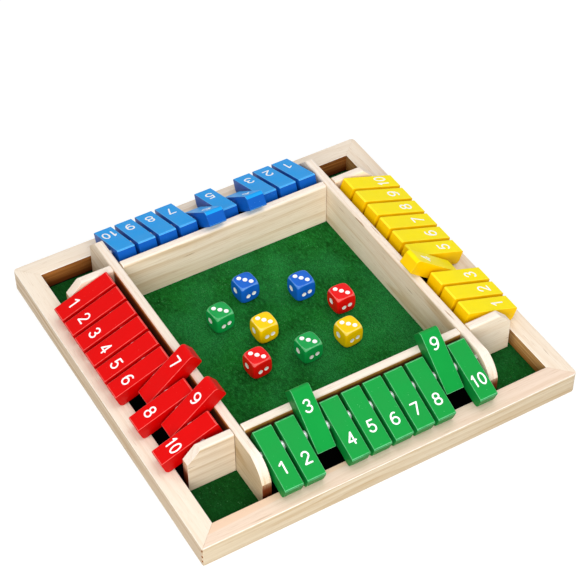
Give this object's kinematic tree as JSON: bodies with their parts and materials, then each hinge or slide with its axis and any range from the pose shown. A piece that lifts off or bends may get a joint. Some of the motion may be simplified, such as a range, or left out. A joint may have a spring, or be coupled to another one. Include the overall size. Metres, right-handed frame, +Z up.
{
  "type": "shut the box game",
  "caption": "Square wooden dice board with a felted tray, corner pockets, a row of hinged number tiles on a rod along each side, and loose dice.",
  "frame": {"origin": "middle of the underside, on the table", "axes": "+X to the right along the green player's rail, +Y away from that player, +Z up"},
  "size_m": [0.3, 0.3, 0.0576],
  "materials": {
    "pale_wood": "fine sanded, clear satin",
    "base_board": "black stained",
    "green_felt": "short napped felt",
    "rod_steel": "drawn bright",
    "green_paint": "satin paint",
    "yellow_paint": "satin paint",
    "blue_paint": "satin paint",
    "red_paint": "satin paint",
    "blue_plastic": "polished",
    "green_plastic": "polished",
    "yellow_plastic": "polished",
    "red_plastic": "polished"
  },
  "bodies": {
    "board": {"outer_frame": "pale_wood", "base_board": "base_board", "felt_sheet": "green_felt", "left_partition": "pale_wood", "right_partition": "pale_wood", "front_cross_wall": "pale_wood", "back_cross_wall": "pale_wood", "rod_green": "rod_steel", "rod_yellow": "rod_steel", "rod_blue": "rod_steel", "rod_red": "rod_steel"},
    "tile_green_1": {"tile_green_1": "green_paint"},
    "tile_green_2": {"tile_green_2": "green_paint"},
    "tile_green_3": {"tile_green_3": "green_paint"},
    "tile_green_4": {"tile_green_4": "green_paint"},
    "tile_green_5": {"tile_green_5": "green_paint"},
    "tile_green_6": {"tile_green_6": "green_paint"},
    "tile_green_7": {"tile_green_7": "green_paint"},
    "tile_green_8": {"tile_green_8": "green_paint"},
    "tile_green_9": {"tile_green_9": "green_paint"},
    "tile_green_10": {"tile_green_10": "green_paint"},
    "tile_yellow_1": {"tile_yellow_1": "yellow_paint"},
    "tile_yellow_2": {"tile_yellow_2": "yellow_paint"},
    "tile_yellow_3": {"tile_yellow_3": "yellow_paint"},
    "tile_yellow_4": {"tile_yellow_4": "yellow_paint"},
    "tile_yellow_5": {"tile_yellow_5": "yellow_paint"},
    "tile_yellow_6": {"tile_yellow_6": "yellow_paint"},
    "tile_yellow_7": {"tile_yellow_7": "yellow_paint"},
    "tile_yellow_8": {"tile_yellow_8": "yellow_paint"},
    "tile_yellow_9": {"tile_yellow_9": "yellow_paint"},
    "tile_yellow_10": {"tile_yellow_10": "yellow_paint"},
    "tile_blue_1": {"tile_blue_1": "blue_paint"},
    "tile_blue_2": {"tile_blue_2": "blue_paint"},
    "tile_blue_3": {"tile_blue_3": "blue_paint"},
    "tile_blue_4": {"tile_blue_4": "blue_paint"},
    "tile_blue_5": {"tile_blue_5": "blue_paint"},
    "tile_blue_6": {"tile_blue_6": "blue_paint"},
    "tile_blue_7": {"tile_blue_7": "blue_paint"},
    "tile_blue_8": {"tile_blue_8": "blue_paint"},
    "tile_blue_9": {"tile_blue_9": "blue_paint"},
    "tile_blue_10": {"tile_blue_10": "blue_paint"},
    "tile_red_1": {"tile_red_1": "red_paint"},
    "tile_red_2": {"tile_red_2": "red_paint"},
    "tile_red_3": {"tile_red_3": "red_paint"},
    "tile_red_4": {"tile_red_4": "red_paint"},
    "tile_red_5": {"tile_red_5": "red_paint"},
    "tile_red_6": {"tile_red_6": "red_paint"},
    "tile_red_7": {"tile_red_7": "red_paint"},
    "tile_red_8": {"tile_red_8": "red_paint"},
    "tile_red_9": {"tile_red_9": "red_paint"},
    "tile_red_10": {"tile_red_10": "red_paint"},
    "die_blue_1": {"die_blue_1": "blue_plastic"},
    "die_blue_2": {"die_blue_2": "blue_plastic"},
    "die_green_1": {"die_green_1": "green_plastic"},
    "die_green_2": {"die_green_2": "green_plastic"},
    "die_yellow_1": {"die_yellow_1": "yellow_plastic"},
    "die_yellow_2": {"die_yellow_2": "yellow_plastic"},
    "die_red_1": {"die_red_1": "red_plastic"},
    "die_red_2": {"die_red_2": "red_plastic"}
  },
  "joints": [
    {"name": "flip_green_1", "type": "hinge", "parent": "board", "child": "tile_green_1", "pos_m": [-0.07766, -0.1128, 0.03435], "axis": [-1, 0, 0], "range_deg": [0, 161.7]},
    {"name": "flip_green_2", "type": "hinge", "parent": "board", "child": "tile_green_2", "pos_m": [-0.06045, -0.1128, 0.03435], "axis": [-1, 0, 0], "range_deg": [0, 161.7]},
    {"name": "flip_green_3", "type": "hinge", "parent": "board", "child": "tile_green_3", "pos_m": [-0.04324, -0.1128, 0.03435], "axis": [-1, 0, 0], "range_deg": [-161.7, 0]},
    {"name": "flip_green_4", "type": "hinge", "parent": "board", "child": "tile_green_4", "pos_m": [-0.02603, -0.1128, 0.03435], "axis": [-1, 0, 0], "range_deg": [0, 161.7]},
    {"name": "flip_green_5", "type": "hinge", "parent": "board", "child": "tile_green_5", "pos_m": [-0.00882, -0.1128, 0.03435], "axis": [-1, 0, 0], "range_deg": [0, 161.7]},
    {"name": "flip_green_6", "type": "hinge", "parent": "board", "child": "tile_green_6", "pos_m": [0.00839, -0.1128, 0.03435], "axis": [-1, 0, 0], "range_deg": [0, 161.7]},
    {"name": "flip_green_7", "type": "hinge", "parent": "board", "child": "tile_green_7", "pos_m": [0.0256, -0.1128, 0.03435], "axis": [-1, 0, 0], "range_deg": [0, 161.7]},
    {"name": "flip_green_8", "type": "hinge", "parent": "board", "child": "tile_green_8", "pos_m": [0.04281, -0.1128, 0.03435], "axis": [-1, 0, 0], "range_deg": [0, 161.7]},
    {"name": "flip_green_9", "type": "hinge", "parent": "board", "child": "tile_green_9", "pos_m": [0.06002, -0.1128, 0.03435], "axis": [-1, 0, 0], "range_deg": [-161.7, 0]},
    {"name": "flip_green_10", "type": "hinge", "parent": "board", "child": "tile_green_10", "pos_m": [0.07723, -0.1128, 0.03435], "axis": [-1, 0, 0], "range_deg": [0, 161.7]},
    {"name": "flip_yellow_1", "type": "hinge", "parent": "board", "child": "tile_yellow_1", "pos_m": [0.1128, -0.0768, 0.03435], "axis": [0, -1, 0], "range_deg": [0, 161.7]},
    {"name": "flip_yellow_2", "type": "hinge", "parent": "board", "child": "tile_yellow_2", "pos_m": [0.1128, -0.05959, 0.03435], "axis": [0, -1, 0], "range_deg": [0, 161.7]},
    {"name": "flip_yellow_3", "type": "hinge", "parent": "board", "child": "tile_yellow_3", "pos_m": [0.1128, -0.04238, 0.03435], "axis": [0, -1, 0], "range_deg": [0, 161.7]},
    {"name": "flip_yellow_4", "type": "hinge", "parent": "board", "child": "tile_yellow_4", "pos_m": [0.1128, -0.02517, 0.03435], "axis": [0, -1, 0], "range_deg": [-161.7, 0]},
    {"name": "flip_yellow_5", "type": "hinge", "parent": "board", "child": "tile_yellow_5", "pos_m": [0.1128, -0.00796, 0.03435], "axis": [0, -1, 0], "range_deg": [0, 161.7]},
    {"name": "flip_yellow_6", "type": "hinge", "parent": "board", "child": "tile_yellow_6", "pos_m": [0.1128, 0.00925, 0.03435], "axis": [0, -1, 0], "range_deg": [0, 161.7]},
    {"name": "flip_yellow_7", "type": "hinge", "parent": "board", "child": "tile_yellow_7", "pos_m": [0.1128, 0.02646, 0.03435], "axis": [0, -1, 0], "range_deg": [0, 161.7]},
    {"name": "flip_yellow_8", "type": "hinge", "parent": "board", "child": "tile_yellow_8", "pos_m": [0.1128, 0.04367, 0.03435], "axis": [0, -1, 0], "range_deg": [0, 161.7]},
    {"name": "flip_yellow_9", "type": "hinge", "parent": "board", "child": "tile_yellow_9", "pos_m": [0.1128, 0.06088, 0.03435], "axis": [0, -1, 0], "range_deg": [0, 161.7]},
    {"name": "flip_yellow_10", "type": "hinge", "parent": "board", "child": "tile_yellow_10", "pos_m": [0.1128, 0.07809, 0.03435], "axis": [0, -1, 0], "range_deg": [0, 161.7]},
    {"name": "flip_blue_1", "type": "hinge", "parent": "board", "child": "tile_blue_1", "pos_m": [0.07744, 0.1128, 0.03435], "axis": [1, 0, 0], "range_deg": [0, 161.7]},
    {"name": "flip_blue_2", "type": "hinge", "parent": "board", "child": "tile_blue_2", "pos_m": [0.06023, 0.1128, 0.03435], "axis": [1, 0, 0], "range_deg": [0, 161.7]},
    {"name": "flip_blue_3", "type": "hinge", "parent": "board", "child": "tile_blue_3", "pos_m": [0.04303, 0.1128, 0.03435], "axis": [1, 0, 0], "range_deg": [0, 161.7]},
    {"name": "flip_blue_4", "type": "hinge", "parent": "board", "child": "tile_blue_4", "pos_m": [0.02582, 0.1128, 0.03435], "axis": [1, 0, 0], "range_deg": [-161.7, 0]},
    {"name": "flip_blue_5", "type": "hinge", "parent": "board", "child": "tile_blue_5", "pos_m": [0.0086, 0.1128, 0.03435], "axis": [1, 0, 0], "range_deg": [0, 161.7]},
    {"name": "flip_blue_6", "type": "hinge", "parent": "board", "child": "tile_blue_6", "pos_m": [-0.0086, 0.1128, 0.03435], "axis": [1, 0, 0], "range_deg": [-161.7, 0]},
    {"name": "flip_blue_7", "type": "hinge", "parent": "board", "child": "tile_blue_7", "pos_m": [-0.02582, 0.1128, 0.03435], "axis": [1, 0, 0], "range_deg": [0, 161.7]},
    {"name": "flip_blue_8", "type": "hinge", "parent": "board", "child": "tile_blue_8", "pos_m": [-0.04303, 0.1128, 0.03435], "axis": [1, 0, 0], "range_deg": [0, 161.7]},
    {"name": "flip_blue_9", "type": "hinge", "parent": "board", "child": "tile_blue_9", "pos_m": [-0.06023, 0.1128, 0.03435], "axis": [1, 0, 0], "range_deg": [0, 161.7]},
    {"name": "flip_blue_10", "type": "hinge", "parent": "board", "child": "tile_blue_10", "pos_m": [-0.07744, 0.1128, 0.03435], "axis": [1, 0, 0], "range_deg": [0, 161.7]},
    {"name": "flip_red_1", "type": "hinge", "parent": "board", "child": "tile_red_1", "pos_m": [-0.1128, 0.07898, 0.03435], "axis": [0, 1, 0], "range_deg": [0, 161.7]},
    {"name": "flip_red_2", "type": "hinge", "parent": "board", "child": "tile_red_2", "pos_m": [-0.1128, 0.06177, 0.03435], "axis": [0, 1, 0], "range_deg": [0, 161.7]},
    {"name": "flip_red_3", "type": "hinge", "parent": "board", "child": "tile_red_3", "pos_m": [-0.1128, 0.04456, 0.03435], "axis": [0, 1, 0], "range_deg": [0, 161.7]},
    {"name": "flip_red_4", "type": "hinge", "parent": "board", "child": "tile_red_4", "pos_m": [-0.1128, 0.02735, 0.03435], "axis": [0, 1, 0], "range_deg": [0, 161.7]},
    {"name": "flip_red_5", "type": "hinge", "parent": "board", "child": "tile_red_5", "pos_m": [-0.1128, 0.01014, 0.03435], "axis": [0, 1, 0], "range_deg": [0, 161.7]},
    {"name": "flip_red_6", "type": "hinge", "parent": "board", "child": "tile_red_6", "pos_m": [-0.1128, -0.00707, 0.03435], "axis": [0, 1, 0], "range_deg": [0, 161.7]},
    {"name": "flip_red_7", "type": "hinge", "parent": "board", "child": "tile_red_7", "pos_m": [-0.1128, -0.02428, 0.03435], "axis": [0, 1, 0], "range_deg": [-161.7, 0]},
    {"name": "flip_red_8", "type": "hinge", "parent": "board", "child": "tile_red_8", "pos_m": [-0.1128, -0.04149, 0.03435], "axis": [0, 1, 0], "range_deg": [0, 161.7]},
    {"name": "flip_red_9", "type": "hinge", "parent": "board", "child": "tile_red_9", "pos_m": [-0.1128, -0.0587, 0.03435], "axis": [0, 1, 0], "range_deg": [-161.7, 0]},
    {"name": "flip_red_10", "type": "hinge", "parent": "board", "child": "tile_red_10", "pos_m": [-0.1128, -0.07591, 0.03435], "axis": [0, 1, 0], "range_deg": [0, 161.7]},
    {"name": "lift_die_blue_1", "type": "slide", "parent": "board", "child": "die_blue_1", "axis": [0, 0, 1], "range_m": [0, 0.06]},
    {"name": "lift_die_blue_2", "type": "slide", "parent": "board", "child": "die_blue_2", "axis": [0, 0, 1], "range_m": [0, 0.06]},
    {"name": "lift_die_green_1", "type": "slide", "parent": "board", "child": "die_green_1", "axis": [0, 0, 1], "range_m": [0, 0.06]},
    {"name": "lift_die_green_2", "type": "slide", "parent": "board", "child": "die_green_2", "axis": [0, 0, 1], "range_m": [0, 0.06]},
    {"name": "lift_die_yellow_1", "type": "slide", "parent": "board", "child": "die_yellow_1", "axis": [0, 0, 1], "range_m": [0, 0.06]},
    {"name": "lift_die_yellow_2", "type": "slide", "parent": "board", "child": "die_yellow_2", "axis": [0, 0, 1], "range_m": [0, 0.06]},
    {"name": "lift_die_red_1", "type": "slide", "parent": "board", "child": "die_red_1", "axis": [0, 0, 1], "range_m": [0, 0.06]},
    {"name": "lift_die_red_2", "type": "slide", "parent": "board", "child": "die_red_2", "axis": [0, 0, 1], "range_m": [0, 0.06]}
  ]
}
